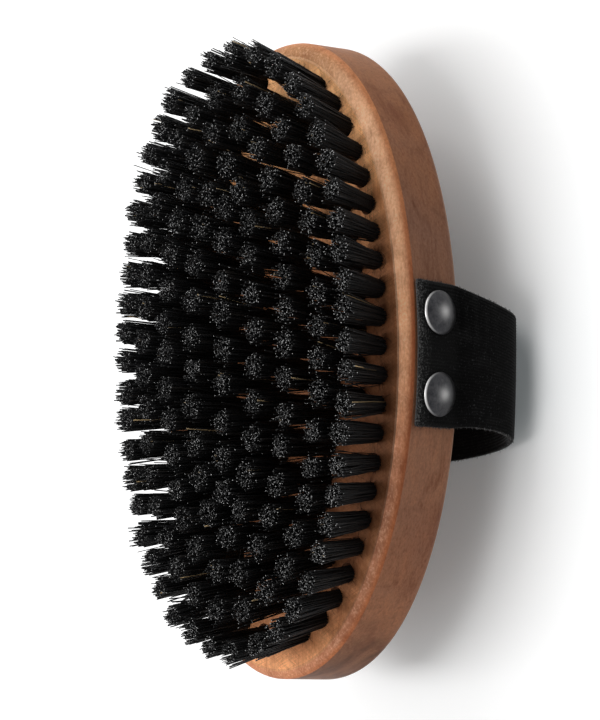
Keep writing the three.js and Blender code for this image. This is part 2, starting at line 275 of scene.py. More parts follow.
# Hair: colours by tone, fading along each hair, darker at the root and paler towards the tip, partly the
# bristle's own paling and partly painted light on the upper shafts, and those of the cut ends
HAIR_COLOURS = (
    (0, (0.0086, 0.0089, 0.0094)),
    (0.8, (0.0125, 0.0127, 0.0132)),
    (0.96, (0.019, 0.017, 0.0155)),
    (0.975, (0.08, 0.045, 0.022)),
    (0.99, (0.6, 0.44, 0.24)),
)
HAIR_FADE_AND_LIGHT = ((0, 0.5), (0.3, 0.7), (0.5, 1.6))
END_COLOURS = ((0, 0.025), (0.4, 0.05), (0.65, 0.16), (1, 0.39))
END_COVER = ((0.6, 0), (0.7, 1))
HAIR_ROUGHNESS = (0.42, 0.58)
HAIR_SHINE = 0.1

# Webbing and its lint
WEFT = (2200, 1430, 1)  # threads to the metre along and across the strap
WEFT_WANDER = 0.35
WEBBING_WEAR = {"scale": 210, "detail": 5, "roughness": 0.65}
WEBBING_FLECKS = {"scale": 2600}
WEBBING_COLOURS = ((0.35, 0.0022), (0.5, 0.005), (0.65, 0.014))
# Lighter along the rib tops and darker between them: painted highlight and painted shade
RIB_LIGHT_AND_SHADE = ((0, 0.55), (0.9, 1.25))
RIB_LIGHT_AND_SHADE_SHARE = 0.85
WEFT_TINT = ((0.1, 1), (0.7, 0.35))
WEFT_SHARE = 0.6
FLECK_COVER = ((0.6, 0), (0.78, 0.8))
FLECK_COLOUR = (0.05, 0.05, 0.052)
FRAY_AND_LIGHT_COVER = ((0, 1), (0.3, 0.6), (0.9, 0))  # over twice the length that has come loose; the paler band is partly fraying and partly painted light on the upward-facing cut ends
FRAY_AND_LIGHT_COLOURS = ((0.4, 0.008), (0.55, 0.04), (0.68, 0.16))
WEBBING_BUMP = {"strength": 0.5, "distance": 0.1}
WEBBING_ROUGHNESS = (0.9, 1)
WEBBING_SHINE = 0.06
WEBBING_SHEEN = 0.25
WEBBING_SHEEN_ROUGHNESS = 0.4
LINT_COLOURS = ((0, 0.03), (0.5, 0.14), (1, 0.4))
LINT_ROUGHNESS = (0.8, 1)
LINT_SHINE = 0.1

# Steel
STEEL_WEAR = {"scale": 900, "detail": 3, "roughness": 0.6}
STEEL_BRUSHING = {"stretch": (2200, 2200, 3600), "detail": 3}
STEEL_COLOURS = ((0.3, (0.028, 0.028, 0.031)), (0.7, (0.054, 0.053, 0.056)))
# Colour of the painted glint and highlight on the nails
STEEL_HIGHLIGHT_COLOUR = (0.6, 0.59, 0.58)
BRUSHING_TINT = ((0.3, 0.5), (0.7, 1.15))
BRUSHING_SHARE = 0.6
STEEL_BUMP = {"strength": 0.12, "distance": 0.05}
STEEL_ROUGHNESS = (0.3, 0.4)

# Camera: the photograph's own view, turned so that +X is up
CAMERA_AZIMUTH = math.radians(-5.693)
CAMERA_ELEVATION = math.radians(45.391)
CAMERA_ROLL = math.radians(-85.435)
CAMERA_TARGET = (-0.15, -2.46, 32.07)
CAMERA_DISTANCE = 951.9
CAMERA_LENS = 233.8
CAMERA_SENSOR = 36

# Light, in metres and watts: a broad panel and a narrow one overhead, one past each end, a dim surround
PANEL = {"place": (0, 0.27, 1.1), "size": (2.4, 1.8), "watts": 10.3}
TOP = {"place": (-0.12, 0.25, 1.2), "size": (0.34, 1.4), "watts": 7.4}
KEY = {"place": (0.9, 0.15, 0.65), "size": (0.7, 0.9), "watts": 5.2}
FILL = {"place": (-0.9, 0.15, 0.55), "size": (0.7, 0.9), "watts": 1.8}
SURROUND_LIGHT = 0.08  # as it lights the brush; it is seen as white
FLOOR_SIZE = 6
FLOOR_TONE = 0.95  # as the camera sees it
FLOOR_BOUNCE = 0.3  # as it lights the brush
FLOOR_GLOW = 0.12  # near the brush; it rises to white further off
FLOOR_GLOW_REACH = (0.25, 0.9)
FLOOR_GLOW_COLOUR = (0.92, 1, 1.02)


def signed_power(value, power):
    """A power that keeps the sign of the value."""
    return np.sign(value) * np.abs(value) ** power


def oval_points(half, power, count, phase=0):
    """Points at equal spaces along an oval, the first one `phase` spaces past its +X end."""
    turn = np.linspace(0, 2 * math.pi, OVAL_STEPS + 1)
    x = half[0] * signed_power(np.cos(turn), 2 / power)
    y = half[1] * signed_power(np.sin(turn), 2 / power)
    length = np.concatenate([[0], np.cumsum(np.hypot(np.diff(x), np.diff(y)))])
    places = (np.arange(count) + phase) / count * length[-1]
    return np.stack([np.interp(places, length, x), np.interp(places, length, y)], 1)


def oval_outward(points, half, power):
    """The way straight out of an oval at points on it."""
    slope = signed_power(points / np.array(half), power - 1) / np.array(half)
    return slope / np.linalg.norm(slope, axis=1, keepdims=True)


def wall_reach(x):
    """How far the stock's wall is from the long axis, at a distance along that axis."""
    return STOCK_HALF[1] * (1 - abs(x / STOCK_HALF[0]) ** STOCK_POWER) ** (1 / STOCK_POWER)


def new_object(name, data):
    """An object in the scene, from a mesh, a lamp or a camera."""
    made = bpy.data.objects.new(name, data)
    bpy.context.scene.collection.objects.link(made)
    return made


def mesh_piece(name, points, faces):
    """A smooth object from points in millimetres."""
    mesh = bpy.data.meshes.new(name)
    mesh.from_pydata((np.asarray(points) * MM).tolist(), [], faces)
    mesh.validate()
    mesh.shade_smooth()
    return new_object(name, mesh)


def loft_faces(rings, count, capped=True):
    """Faces of a skin through rings of equal point counts, with or without a cap at each end."""
    faces = []
    for k in range(rings - 1):
        for i in range(count):
            j = (i + 1) % count
            faces.append((k * count + i, (k + 1) * count + i, (k + 1) * count + j, k * count + j))
    if capped:
        faces.append(tuple(range(count)))
        faces.append(tuple(reversed(range((rings - 1) * count, rings * count))))
    return faces


def dress(piece, material, slot, *nodes):
    """Gives a piece its material and sets it on the frame in place of CAD nodes; `slot` is not used."""
    piece.data.materials.clear()
    piece.data.materials.append(material)
    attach(piece, "root")
    if nodes:
        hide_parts(*nodes)


def rgba(colour):
    """A solid colour from its red, green and blue, or from one value for a grey."""
    red, green, blue = colour if isinstance(colour, tuple) else (colour, colour, colour)
    return (red, green, blue, 1)


class Look:
    """A material with one surface shader, and short ways to add and link its nodes."""

    MIX_INPUTS = (0, 6, 7)  # where a mix of colours takes its share and its two colours
    MIX_OUTPUT = 2

    def __init__(self, name):
        self.material = bpy.data.materials.new(name)
        self.material.use_nodes = True
        self.nodes = self.material.node_tree.nodes
        self.links = self.material.node_tree.links
        self.shader = self.nodes["Principled BSDF"]

    def set(self, **values):
        """Sets the shader's own values."""
        for name, value in values.items():
            self.shader.inputs[name.replace("_", " ")].default_value = value

    def feed(self, socket, value):
        """Links another node's output to a socket, or sets the socket to a plain value."""
        if isinstance(value, bpy.types.NodeSocket):
            self.links.new(value, socket)
        else:
            socket.default_value = value

    def add(self, kind, settings=None, **inputs):
        """A node with its settings and with its inputs fed."""
        node = self.nodes.new(kind)
        for name, value in (settings or {}).items():
            setattr(node, name, value)
        for name, value in inputs.items():
            self.feed(node.inputs[name.replace("_", " ")], value)
        return node

    def place(self, stretch=(1, 1, 1), turn=0):
        """Object coordinates, turned about Z and then stretched."""
        where = self.nodes.new("ShaderNodeTexCoord").outputs["Object"]
        turned = self.add("ShaderNodeMapping", Vector=where, Rotation=(0, 0, turn)).outputs[0]
        return self.add("ShaderNodeMapping", Vector=turned, Scale=stretch).outputs[0]

    def noise(self, stretch=(1, 1, 1), scale=1, detail=2, roughness=0.5, distortion=0, turn=0):
        """A cloudy pattern over the object."""
        node = self.add(
            "ShaderNodeTexNoise",
            Vector=self.place(stretch, turn),
            Scale=scale,
            Detail=detail,
            Roughness=roughness,
            Distortion=distortion,
        )
        return node.outputs["Fac"]

    def ramp(self, value, stops):
        """Colours or greys at positions from 0 to 1."""
        node = self.add("ShaderNodeValToRGB", Fac=value)
        elements = node.color_ramp.elements
        while len(elements) < len(stops):
            elements.new(0.5)
        for element, (position, colour) in zip(elements, stops):
            element.position = position
            element.color = rgba(colour)
        return node.outputs["Color"]

    def mix(self, blend, share, first, second):
        """Two colours blended, by a share of the second."""
        node = self.add("ShaderNodeMix", {"data_type": "RGBA", "blend_type": blend})
        for socket, value in zip(self.MIX_INPUTS, (share, first, second)):
            self.feed(node.inputs[socket], value)
        return node.outputs[self.MIX_OUTPUT]

    def math(self, operation, *values):
        """A sum worked out on values or other nodes' outputs."""
        node = self.add("ShaderNodeMath", {"operation": operation})
        for socket, value in zip(node.inputs, values):
            self.feed(socket, value)
        return node.outputs[0]

    def part(self, vector, axis):
        """One of the three values of a vector."""
        return self.add("ShaderNodeSeparateXYZ", Vector=vector).outputs[axis]

    def attribute(self, name):
        """A number that the points of the mesh carry."""
        return self.add("ShaderNodeAttribute", {"attribute_name": name}).outputs["Fac"]

    def colour(self, socket):
        """Gives the shader its colour."""
        self.links.new(socket, self.shader.inputs["Base Color"])

    def rough(self, socket, low, high):
        """Spreads the shader's roughness between two values by a pattern."""
        spread = self.add("ShaderNodeMapRange", Value=socket, To_Min=low, To_Max=high)
        self.links.new(spread.outputs[0], self.shader.inputs["Roughness"])

    def bump(self, height, strength, distance):
        """Adds a fine relief that is too small to model."""
        node = self.add("ShaderNodeBump", Height=height, Strength=strength, Distance=distance * MM)
        self.links.new(node.outputs[0], self.shader.inputs["Normal"])


def wood_look():
    """Fine-grained fruitwood, paler towards its +X end partly by its own tone and partly by painted
    light, with painted shade of the tufts in the face's middle, a round-over palest where it faces up
    partly by painted light, and painted highlights along the crease and the back edge.
    """
    look = Look("fruitwood")
    figure = look.noise(**FIGURE)
    cloud = look.noise(**CLOUDS)
    fibre = look.noise(**FIBRE)
    pores = look.noise(**PORES)
    end = STOCK_HALF[0] * MM
    where = look.part(look.place(), "X")
    length = look.add("ShaderNodeMapRange", Value=where, From_Min=-end, From_Max=end).outputs[0]
    along = look.math("MULTIPLY_ADD", figure, WANDER, look.math("SUBTRACT", length, WANDER / 2))
    up = look.part(look.nodes.new("ShaderNodeTexCoord").outputs["Normal"], "Z")
    down = look.math("MULTIPLY", up, -1)
    # painted shade of the tufts in the face's middle, and painted light at its ends
    face = look.ramp(along, FACE_COLOURS_LIGHT_AND_SHADE)
    face = look.mix("MULTIPLY", 1, face, look.ramp(figure, FIGURE_TINT))
    # fine crossing lines: partly sanding marks, partly painted shadows of loose hairs
    for turn in SCRATCH_AND_SHADOW_TURNS:
        marks = look.ramp(look.noise(**SCRATCHES_AND_HAIR_SHADOWS, turn=turn), SCRATCH_AND_SHADOW_TINT)
        face = look.mix("MULTIPLY", look.ramp(cloud, SCRATCH_AND_SHADOW_COVER), face, marks)
    rim = look.ramp(along, UPPER_RIM_COLOURS)
    rim = look.mix("MIX", look.ramp(pores, DUST_COVER), rim, rgba(DUST_COLOUR))
    # the round-over is palest where it faces up, partly by painted light
    tint = look.mix("MIX", look.ramp(up, UPPER_RIM), face, rim)
    tint = look.mix("MIX", look.ramp(up, OUTER_RIM), tint, look.ramp(along, OUTER_RIM_COLOURS))
    tint = look.mix("MIX", look.ramp(up, WALL), tint, look.ramp(along, WALL_COLOURS))
    # painted highlight along the crease band
    tint = look.mix("MIX", look.ramp(up, CREASE_HIGHLIGHT), tint, look.ramp(along, CREASE_HIGHLIGHT_COLOURS))
    # painted highlight along the back edge
    tint = look.mix("MIX", look.ramp(down, BACK_EDGE_HIGHLIGHT), tint, rgba(BACK_EDGE_HIGHLIGHT_COLOUR))
    tint = look.mix("MULTIPLY", look.ramp(look.noise(**STAINS), STAIN_COVER), tint, rgba(STAIN_TINT))
    tint = look.mix("MULTIPLY", 1, tint, look.ramp(cloud, CLOUD_TINT))
    tint = look.mix("MULTIPLY", FIBRE_SHARE, tint, look.ramp(fibre, FIBRE_TINT))
    look.colour(look.mix("MULTIPLY", PORE_SHARE, tint, look.ramp(pores, PORE_TINT)))
    look.rough(fibre, *WOOD_ROUGHNESS)
    look.bump(look.math("ADD", fibre, look.math("MULTIPLY", pores, PORE_DEPTH)), **WOOD_BUMP)
    look.set(Specular_IOR_Level=WOOD_SHINE)
    return look.material


def bristle_look():
    """Black natural bristle, greyer towards its tips partly by painted light on the upper shafts, here
    and there blond, with pale cut ends.
    """
    look = Look("black_bristle")
    tone = look.attribute("tone")
    along = look.attribute("along")
    # the fade along each hair is partly painted light on the upper shafts
    hair = look.mix("MULTIPLY", 1, look.ramp(tone, HAIR_COLOURS), look.ramp(along, HAIR_FADE_AND_LIGHT))
    shade = look.math("FRACT", look.math("MULTIPLY", tone, END_SHADES))
    look.colour(look.mix("MIX", look.ramp(along, END_COVER), hair, look.ramp(shade, END_COLOURS)))
    look.rough(tone, *HAIR_ROUGHNESS)
    look.set(Specular_IOR_Level=HAIR_SHINE)
    return look.material


def webbing_look(length):
    """Matt black cotton webbing, greyer where it is worn, with painted highlights on its rib tops and
    painted shade between them, and paler near its cut ends, partly fraying and partly painted light on
    the upward-facing ends.
    """
    look = Look("cotton_webbing")
    weave = look.add("ShaderNodeUVMap", {"uv_map": "weave"}).outputs[0]
    threads = look.add("ShaderNodeMapping", Vector=weave, Scale=WEFT).outputs[0]
    cells = look.add("ShaderNodeTexVoronoi", Vector=threads, Scale=1, Randomness=WEFT_WANDER)
    weft = cells.outputs["Distance"]
    wear = look.noise(**WEBBING_WEAR)
    specks = look.noise(**WEBBING_FLECKS)
    run = look.part(weave, "X")
    from_end = look.math("MINIMUM", run, look.math("SUBTRACT", length * MM, run))
    # paler near the cut ends: partly fraying, partly painted light on the upward-facing ends
    frayed_and_lit = look.ramp(look.math("DIVIDE", from_end, 2 * FRAY * MM), FRAY_AND_LIGHT_COVER)
    turns = RIBS * 2 * math.pi / (STRAP_WIDTH * MM)
    ribs = look.math("COSINE", look.math("MULTIPLY", look.part(weave, "Y"), turns))
    tint = look.ramp(wear, WEBBING_COLOURS)
    # painted highlight on the rib tops and painted shade between them
    tint = look.mix("MULTIPLY", RIB_LIGHT_AND_SHADE_SHARE, tint, look.ramp(ribs, RIB_LIGHT_AND_SHADE))
    tint = look.mix("MULTIPLY", WEFT_SHARE, tint, look.ramp(weft, WEFT_TINT))
    tint = look.mix("ADD", look.ramp(specks, FLECK_COVER), tint, rgba(FLECK_COLOUR))
    look.colour(look.mix("MIX", frayed_and_lit, tint, look.ramp(specks, FRAY_AND_LIGHT_COLOURS)))
    look.rough(wear, *WEBBING_ROUGHNESS)
    look.bump(weft, **WEBBING_BUMP)
    look.set(
        Specular_IOR_Level=WEBBING_SHINE,
        Sheen_Weight=WEBBING_SHEEN,
        Sheen_Roughness=WEBBING_SHEEN_ROUGHNESS,
    )
    return look.material


def lint_look():
    """Loose cotton fibres, grey against the black webbing."""
    look = Look("cotton_lint")
    tone = look.attribute("tone")
    look.colour(look.ramp(tone, LINT_COLOURS))
    look.rough(tone, *LINT_ROUGHNESS)
    look.set(Specular_IOR_Level=LINT_SHINE)
    return look.material


def steel_look():
    """Dark gunmetal, brushed and slightly worn, with a painted glint on the upper lip and a painted
    highlight on the crown.
    """
    look = Look("gunmetal")
    wear = look.noise(**STEEL_WEAR)
    brushing = look.noise(**STEEL_BRUSHING)
    tint = look.ramp(wear, STEEL_COLOURS)
    tint = look.mix("MULTIPLY", BRUSHING_SHARE, tint, look.ramp(brushing, BRUSHING_TINT))
    # painted glint on the upper lip and painted highlight on the crown
    look.colour(look.mix("MIX", look.attribute("painted_highlight"), tint, rgba(STEEL_HIGHLIGHT_COLOUR)))
    look.rough(wear, *STEEL_ROUGHNESS)
    look.bump(brushing, **STEEL_BUMP)
    look.set(Metallic=1)
    return look.material


def stock_piece():
    """The block: face, round-over, wall and back, before its holes are drilled."""
    outline = oval_points(STOCK_HALF, STOCK_POWER, OUTLINE_STEPS)
    outward = oval_outward(outline, STOCK_HALF, STOCK_POWER)
    radius = RIM_RADIUS + RIM_RADIUS_CHANGE * outline[:, 0] / STOCK_HALF[0]

    def ring(inset, height):
        """The outline drawn in and set at a height, the same all round or not."""
        inset = np.broadcast_to(inset, radius.shape)
        height = np.broadcast_to(height, radius.shape)
        return np.column_stack([outline - outward * inset[:, None], height])

    rings = [ring(radius + CREASE_WIDTH, FACE_HEIGHT)]
    share = 1 / (math.cos(RIM_BREAK) - math.sin(RIM_BREAK))
    for turn in np.linspace(RIM_BREAK, math.pi / 2 - RIM_BREAK, RIM_STEPS + 1):
        out = (math.sin(turn) - math.sin(RIM_BREAK)) * share
        down = (math.cos(RIM_BREAK) - math.cos(turn)) * share
        rings.append(ring(radius * (1 - out), FACE_HEIGHT - CREASE_DROP - (radius - CREASE_DROP) * down))
    for turn in np.linspace(0, math.pi / 2, RIM_STEPS + 1):
        inset = BACK_EDGE_RADIUS * (1 - math.cos(turn))
        rings.append(ring(inset, BACK_HEIGHT + BACK_EDGE_RADIUS * (1 - math.sin(turn))))
    return mesh_piece("stock_wood", np.concatenate(rings), loft_faces(len(rings), OUTLINE_STEPS))


def tuft_roots():
    """Each ring's roots, in the field's own layout."""
    roots = {}
    for name, (half_length, half_width, tufts, phase, _) in RINGS.items():
        roots[name] = oval_points((half_length, half_width), FIELD_POWER, tufts, phase)
    row = np.linspace(-0.5, 0.5, CENTRE_ROW_TUFTS) * CENTRE_ROW_LENGTH
    roots["centre"] = np.concatenate([roots["centre"], np.column_stack([row, np.zeros_like(row)])])
    return roots


def on_field(points):
    """Field layout to the stock: shifted along X, then turned."""
    x = points[:, 0] + FIELD_SHIFT
    y = points[:, 1]
    cos = math.cos(FIELD_TURN)
    sin = math.sin(FIELD_TURN)
    return np.column_stack([x * cos - y * sin, x * sin + y * cos])


def trim_height(points):
    """The domed surface that the tufts are cut to, over points of the field's layout."""
    half_length, half_width = RINGS["outer_ring"][:2]
    fall = (points[:, 0] / half_length) ** 2 + (points[:, 1] / half_width) ** 2
    return FACE_HEIGHT + BRISTLE_HEIGHT + TRIM_DOME * (1 - fall)


def drill(stock, roots):
    """Cuts a blind hole at each root."""
    turn = np.linspace(0, 2 * math.pi, HOLE_SIDES, endpoint=False)
    circle = HOLE_RADIUS * np.column_stack([np.cos(turn), np.sin(turn)])
    points = []
    faces = []
    for x, y in roots:
        first = len(points) * HOLE_SIDES
        for height in (FACE_HEIGHT + HOLE_CUT_ABOVE, FACE_HEIGHT - HOLE_DEPTH):
            points.append(np.column_stack([circle + (x, y), np.full(HOLE_SIDES, height)]))
        faces += [tuple(first + i for i in face) for face in loft_faces(2, HOLE_SIDES)]
    cutter = mesh_piece("hole_cutter", np.concatenate(points), faces)
    for piece in (stock, cutter):
        shape = bmesh.new()
        shape.from_mesh(piece.data)
        bmesh.ops.recalc_face_normals(shape, faces=shape.faces)
        shape.to_mesh(piece.data)
        shape.free()
    cut = stock.modifiers.new("holes", "BOOLEAN")
    cut.operation = "DIFFERENCE"
    cut.solver = "MANIFOLD"
    cut.object = cutter
    drilled = bpy.data.meshes.new_from_object(stock.evaluated_get(bpy.context.evaluated_depsgraph_get()))
    stock.modifiers.clear()
    stock.data = drilled
    bpy.data.objects.remove(cutter)
    drilled.shade_smooth()
    drilled.set_sharp_from_angle(angle=SHARP_ANGLE)


def bend_lines(foot, bend, tip, spans):
    """Each hair as points along a smooth curve from its foot to its tip."""
    share = np.linspace(0, 1, spans + 1)[None, :, None]
    rest = 1 - share
    return foot[:, None] * rest**2 + bend[:, None] * 2 * share * rest + tip[:, None] * share**2


def bristle_lines(roots, looseness, random):
    """The bristles of these tufts, which of them stray, and how far each is from its tuft's middle."""
    count = len(roots) * BRISTLES_PER_TUFT
    tuft = np.repeat(np.arange(len(roots)), BRISTLES_PER_TUFT)
    place = np.tile(np.arange(BRISTLES_PER_TUFT), len(roots))
    reach = np.sqrt((place + 0.5) / BRISTLES_PER_TUFT)
    turn = place * GOLDEN_ANGLE + tuft
    spot = np.column_stack([np.cos(turn), np.sin(turn)]) * reach[:, None]
    sway = random.normal(0, TUFT_SWAY, (len(roots), 2))[tuft]
    splay = random.uniform(*TUFT_SPLAY, len(roots))[tuft][:, None] * TUFT_TIP_RADIUS
    spread = random.normal(0, TIP_SCATTER * looseness, (count, 2))
    stray = random.random(count) < STRAY_SHARE * looseness
    spread[stray] += np.clip(random.normal(0, STRAY_SCATTER, (stray.sum(), 2)), -STRAY_LIMIT, STRAY_LIMIT)
    foot = on_field(roots)[tuft] + spot * TUFT_ROOT_RADIUS
    lean = roots * (1 + LEAN_ALONG, 1 + LEAN_ACROSS)
    tip = on_field(lean)[tuft] + sway + spot * splay + spread
    top = trim_height(roots)[tuft] + random.normal(0, HEIGHT_SCATTER * looseness, count)
    top -= (random.random(count) < SHORT_SHARE) * random.random(count) * SHORT_BY
    foot = np.column_stack([foot, np.full(count, FACE_HEIGHT - BRISTLE_ROOT_DEPTH)])
    tip = np.column_stack([tip, top])
    bend = (foot + tip) / 2
    bend[:, :2] += random.normal(0, BEND_SCATTER, (count, 2))
    return bend_lines(foot, bend, tip, BRISTLE_SPANS), stray, reach


def bristle_tones(stray, reach, random):
    """From 0 for black to 1 for blond; most blond ones stray, and a tuft's outer ends are darker by
    painted shade.
    """
    tone = random.random(len(stray)) * BLACK_TONES
    # painted shade: the ends towards a tuft's rim are made darker
    tone -= tone * END_SHADES % 1 / END_SHADES * np.interp(reach, END_SHADE_REACH, (0, END_SHADE_BY))
    blond = random.random(len(stray)) < np.where(stray, BLOND_STRAY_SHARE, BLOND_SHARE)
    tone[blond] = 1
    return tone


def tubes(lines, sides, radius, axis):
    """Rings of points round hairs, set out from `axis`, or from the axis that a hair runs along least."""
    way = np.gradient(lines, axis=1)
    way /= np.linalg.norm(way, axis=2, keepdims=True)
    if axis is None:
        axis = np.eye(3)[np.argmin(np.abs(lines[:, -1] - lines[:, 0]), axis=1)][:, None]
    side = np.cross(way, axis)
    side /= np.linalg.norm(side, axis=2, keepdims=True)
    other = np.cross(side, way)
    angle = np.arange(sides) * 2 * math.pi / sides
    reach = side[:, :, None] * np.cos(angle)[:, None] + other[:, :, None] * np.sin(angle)[:, None]
    return lines[:, :, None] + reach * radius[:, None, None, None]


def strand_piece(name, lines, sides, radius, tone, cut=False, axis=None):
    """Hairs along lines of points, each with its tone, and how far along it each point lies."""
    count, rings = lines.shape[:2]
    tube = tubes(lines, sides, radius, axis)
    points = np.concatenate([tube[:, :1], tube, tube[:, -1:]], axis=1)
    each = (rings + 2) * sides
    pattern = [tuple(range(sides))]
    pattern += [tuple(sides + i for i in face) for face in loft_faces(rings, sides, capped=False)]
    pattern.append(tuple(reversed(range(each - sides, each))))
    faces = [tuple(first + i for i in face) for first in range(0, count * each, each) for face in pattern]
    piece = mesh_piece(name, points.reshape(-1, 3), faces)
    tone = np.floor(tone * (TONES - 1)) / (TONES - 1)
    end = 1 if cut else HAIR_LENGTH_SHARE
    share = np.concatenate([[0], np.linspace(0, HAIR_LENGTH_SHARE, rings), [end]])
    add_values(piece, "tone", np.repeat(tone, each))
    add_values(piece, "along", np.tile(np.repeat(share, sides), count))
    add_map(piece, "OFBake", strand_map(tone, rings, sides))
    return piece


def strand_map(tone, rings, sides):
    """Each point's place on a map of tone against length, which hairs of one tone share when baked."""
    across = np.tile(np.linspace(MAP_MARGIN, 1 - MAP_MARGIN, sides), rings + 2)
    ends = np.tile((np.arange(sides) >= sides / 2) * MAP_END, rings + 2)
    ends[sides:-sides] = 0
    up = np.concatenate([[0], np.linspace(2 * MAP_END, 1 - 3 * MAP_END, rings), [1 - MAP_END]])
    spot = np.column_stack([across, np.repeat(up, sides) + ends])
    chart = np.tile(spot, (len(tone), 1))
    chart[:, 0] = (chart[:, 0] + np.repeat(tone, len(spot)) * (TONES - 1)) / TONES
    return chart


def add_values(piece, name, values):
    """Gives each point of a piece a number that its material reads by name."""
    layer = piece.data.attributes.new(name, "FLOAT", "POINT")
    layer.data.foreach_set("value", values.astype(np.float32))


def add_map(piece, name, places):
    """Lays a piece out flat, by the place of each of its points."""
    corner = np.zeros(len(piece.data.loops), np.int32)
    piece.data.loops.foreach_get("vertex_index", corner)
    layer = piece.data.uv_layers.new(name=name)
    layer.data.foreach_set("uv", places[corner].astype(np.float32).ravel())


def fan_lines(roots, random):
    """Short hairs that have come loose and lie on the wood around the outer roots."""
    tuft = np.repeat(np.arange(len(roots)), FAN_HAIRS)
    count = len(tuft)
    outward = on_field(roots * (1 + LEAN_ALONG, 1 + LEAN_ACROSS)) - on_field(roots)
    turn = np.arctan2(outward[tuft, 1], outward[tuft, 0]) + random.normal(0, FAN_SPREAD, count)
    way = np.column_stack([np.cos(turn), np.sin(turn)])
    length = random.uniform(*FAN_LENGTH, count)[:, None]
    foot = on_field(roots)[tuft] + way * TUFT_ROOT_RADIUS
    sweep = random.normal(0, FAN_SWEEP, (count, 2))
    low = np.full(count, FACE_HEIGHT + HAIR_RADIUS)
    tip = np.column_stack([foot + (way + sweep) * length, low + random.random(count) * FAN_RISE])
    bend = np.column_stack([foot + way * length / 2, low + FAN_RISE / 4])
    return bend_lines(np.column_stack([foot, low]), bend, tip, HAIR_SPANS)


def cross_lines(roots, random):
    """Hairs that lie across the gaps between tufts."""
    chosen = roots[random.integers(0, len(roots), CROSS_HAIRS)]
    height = random.uniform(*CROSS_HEIGHT, CROSS_HAIRS)
    rise = height / BRISTLE_HEIGHT
    start = on_field(chosen * (1 + np.outer(rise, (LEAN_ALONG, LEAN_ACROSS))))
    start = np.column_stack([start, FACE_HEIGHT + height])
    turn = random.uniform(0, 2 * math.pi, CROSS_HAIRS)
    way = np.column_stack([np.cos(turn), np.sin(turn), random.uniform(*CROSS_SLOPE, CROSS_HAIRS)])
    tip = start + way * random.uniform(*CROSS_LENGTH, CROSS_HAIRS)[:, None]
    bend = (start + tip) / 2 + random.normal(0, CROSS_BEND, (CROSS_HAIRS, 3))
    return bend_lines(start, bend, tip, HAIR_SPANS)


def curl_lines(roots, random):
    """Hairs that curl up beside the near tufts."""
    near = roots[roots[:, 1] < 0]
    chosen = on_field(near[random.integers(0, len(near), CURLS)])
    radius = random.uniform(*CURL_RADIUS, CURLS)[:, None]
    begin = random.uniform(0, 2 * math.pi, CURLS)[:, None]
    turn = begin + np.linspace(0, random.uniform(*CURL_TURN, CURLS), CURL_SPANS + 1, axis=1)
    middle = chosen - np.column_stack([np.zeros(CURLS), TUFT_ROOT_RADIUS + radius[:, 0] / 2])
    x = middle[:, :1] + radius * np.cos(turn)
    y = middle[:, 1:] + radius * np.sin(turn)
    z = FACE_HEIGHT + np.linspace(*CURL_RISE, CURL_SPANS + 1) + np.zeros((CURLS, 1))
    return np.stack([x, y, z], 2)


def add_tufts(roots, material, random):
    """The four rings of tufts, in place of the CAD's bristles."""
    for ring, places in roots.items():
        lines, stray, reach = bristle_lines(places, RINGS[ring][-1], random)
        radius = BRISTLE_RADIUS * random.uniform(*BRISTLE_RADIUS_SPREAD, len(lines))
        tone = bristle_tones(stray, reach, random)
        tufts = strand_piece(f"tufts_{ring}", lines, BRISTLE_SIDES, radius, tone, cut=True)
        dress(tufts, material, "bristle", f"bristles_{ring}")


def add_loose_hairs(roots, material, random):
    """The hairs that have come loose from the tufts."""
    middle_roots = np.concatenate([roots["second_ring"], roots["third_ring"]])
    kinds = {
        "root_hairs": fan_lines(roots["outer_ring"], random),
        "crossing_hairs": cross_lines(middle_roots, random),
        "curled_hairs": curl_lines(roots["outer_ring"], random),
    }
    for name, lines in kinds.items():
        radius = HAIR_RADIUS * random.uniform(*HAIR_RADIUS_SPREAD, len(lines))
        tone = random.random(len(lines)) * BLACK_TONES
        axis = (0, 0, 1) if name == "curled_hairs" else None
        dress(strand_piece(name, lines, HAIR_SIDES, radius, tone, axis=axis), material, "bristle")


def bezier(start, first, second, end, share):
    """Points along a curve between two ends, drawn towards two others."""
    share = share[:, None]
    rest = 1 - share
    return start * rest**3 + first * 3 * rest**2 * share + second * 3 * rest * share**2 + end * share**3


def strap_edge(wall_x, edge):
    """One edge of the strap's near half, as points: down the wall, round the bend, in on the table."""
    out = wall_reach(wall_x) + STRAP_GAP + STRAP_THICKNESS / 2
    table = STRAP_THICKNESS / 2
    top = np.array([wall_x, -out, FACE_HEIGHT - STRAP_BELOW_FACE])
    leaves = np.array([wall_x + edge["hang"], -out, BACK_HEIGHT + BACK_EDGE_RADIUS])
    touches = np.array([wall_x + STRAP_LEAN, -edge["flat"] / 2, table])
    middle = np.array([wall_x + STRAP_LEAN, 0, table])
    shoulder = np.array([wall_x + edge["shoulder"][0], -edge["shoulder"][1], edge["shoulder"][2]])
    toe = np.array([wall_x + edge["toe"][0], -edge["toe"][1], table])
    shares = [np.linspace(0, 1, steps + 1) for steps in STRAP_STEPS]
    wall = top + (leaves - top) * shares[0][:, None]
    round_bend = bezier(leaves, shoulder, toe, touches, shares[1])
    along_table = touches + (middle - touches) * shares[2][:, None]
    return np.concatenate([wall, round_bend[1:], along_table[1:]])


def eased(rows):
    """Rows of points with their kinks smoothed out and their ends kept."""
    for _ in range(STRAP_EASE):
        inner = (rows[:-2] + 2 * rows[1:-1] + rows[2:]) / 4
        rows = np.concatenate([rows[:1], inner, rows[-1:]])
    return rows


